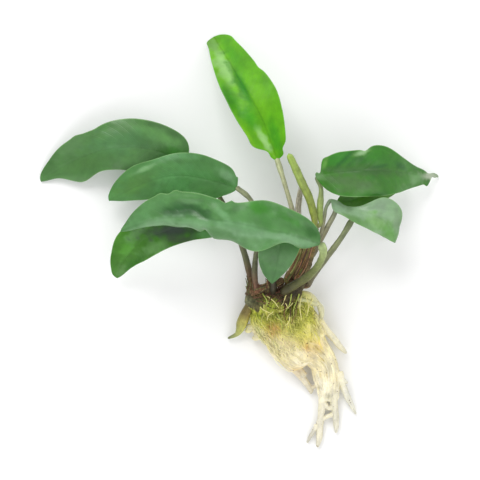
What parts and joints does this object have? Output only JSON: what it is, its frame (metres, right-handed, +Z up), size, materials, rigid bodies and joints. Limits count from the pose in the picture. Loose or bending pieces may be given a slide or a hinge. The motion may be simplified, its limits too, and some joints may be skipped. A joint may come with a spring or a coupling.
{
  "type": "bare-root anubias plant",
  "caption": "Bare-root anubias, a water plant with leathery oval leaves on long stalks, a creeping rhizome and a mat of pale roots, laid flat as picked.",
  "frame": {"origin": "on the table, under the centre of the plant's outline seen from above", "axes": "+Z up from the table that the plant lies on, +Y from the roots to the upright leaf, +X to the right of the roots seen from above with the roots nearest"},
  "size_m": [0.1829, 0.1891, 0.0551],
  "materials": {
    "leaf": "gloss",
    "young_leaf": "gloss",
    "pale_leaf": "gloss",
    "petiole": "satin",
    "young_stem": "satin",
    "old_sheath": "matte",
    "rhizome": "matte",
    "root_mat": "matte",
    "root": "satin"
  },
  "bodies": {
    "root": {"crown_sheath_side": "old_sheath", "crown_sheath_upper": "old_sheath", "leaf_far_left": "leaf", "leaf_front": "leaf", "leaf_front_left": "young_leaf", "leaf_hanging": "leaf", "leaf_left": "leaf", "leaf_right": "leaf", "leaf_right_back": "leaf", "leaf_right_folded": "pale_leaf", "leaf_right_under": "young_leaf", "leaf_upright": "young_leaf", "old_sheath": "old_sheath", "petiole_far_left": "petiole", "petiole_front": "petiole", "petiole_front_left": "petiole", "petiole_hanging": "petiole", "petiole_left": "petiole", "petiole_right": "petiole", "petiole_right_back": "petiole", "petiole_right_folded": "petiole", "petiole_right_under": "petiole", "petiole_upright": "petiole", "rhizome": "rhizome", "rolled_leaf": "young_stem", "root_left": "root", "root_loop": "root", "root_low_right": "root", "root_mat": "root_mat", "root_right": "root", "root_short_lower": "root", "root_short_upper": "root", "root_tip": "root", "root_tip_fork": "root", "root_tip_right": "root", "side_shoot": "young_stem"}
  },
  "joints": []
}
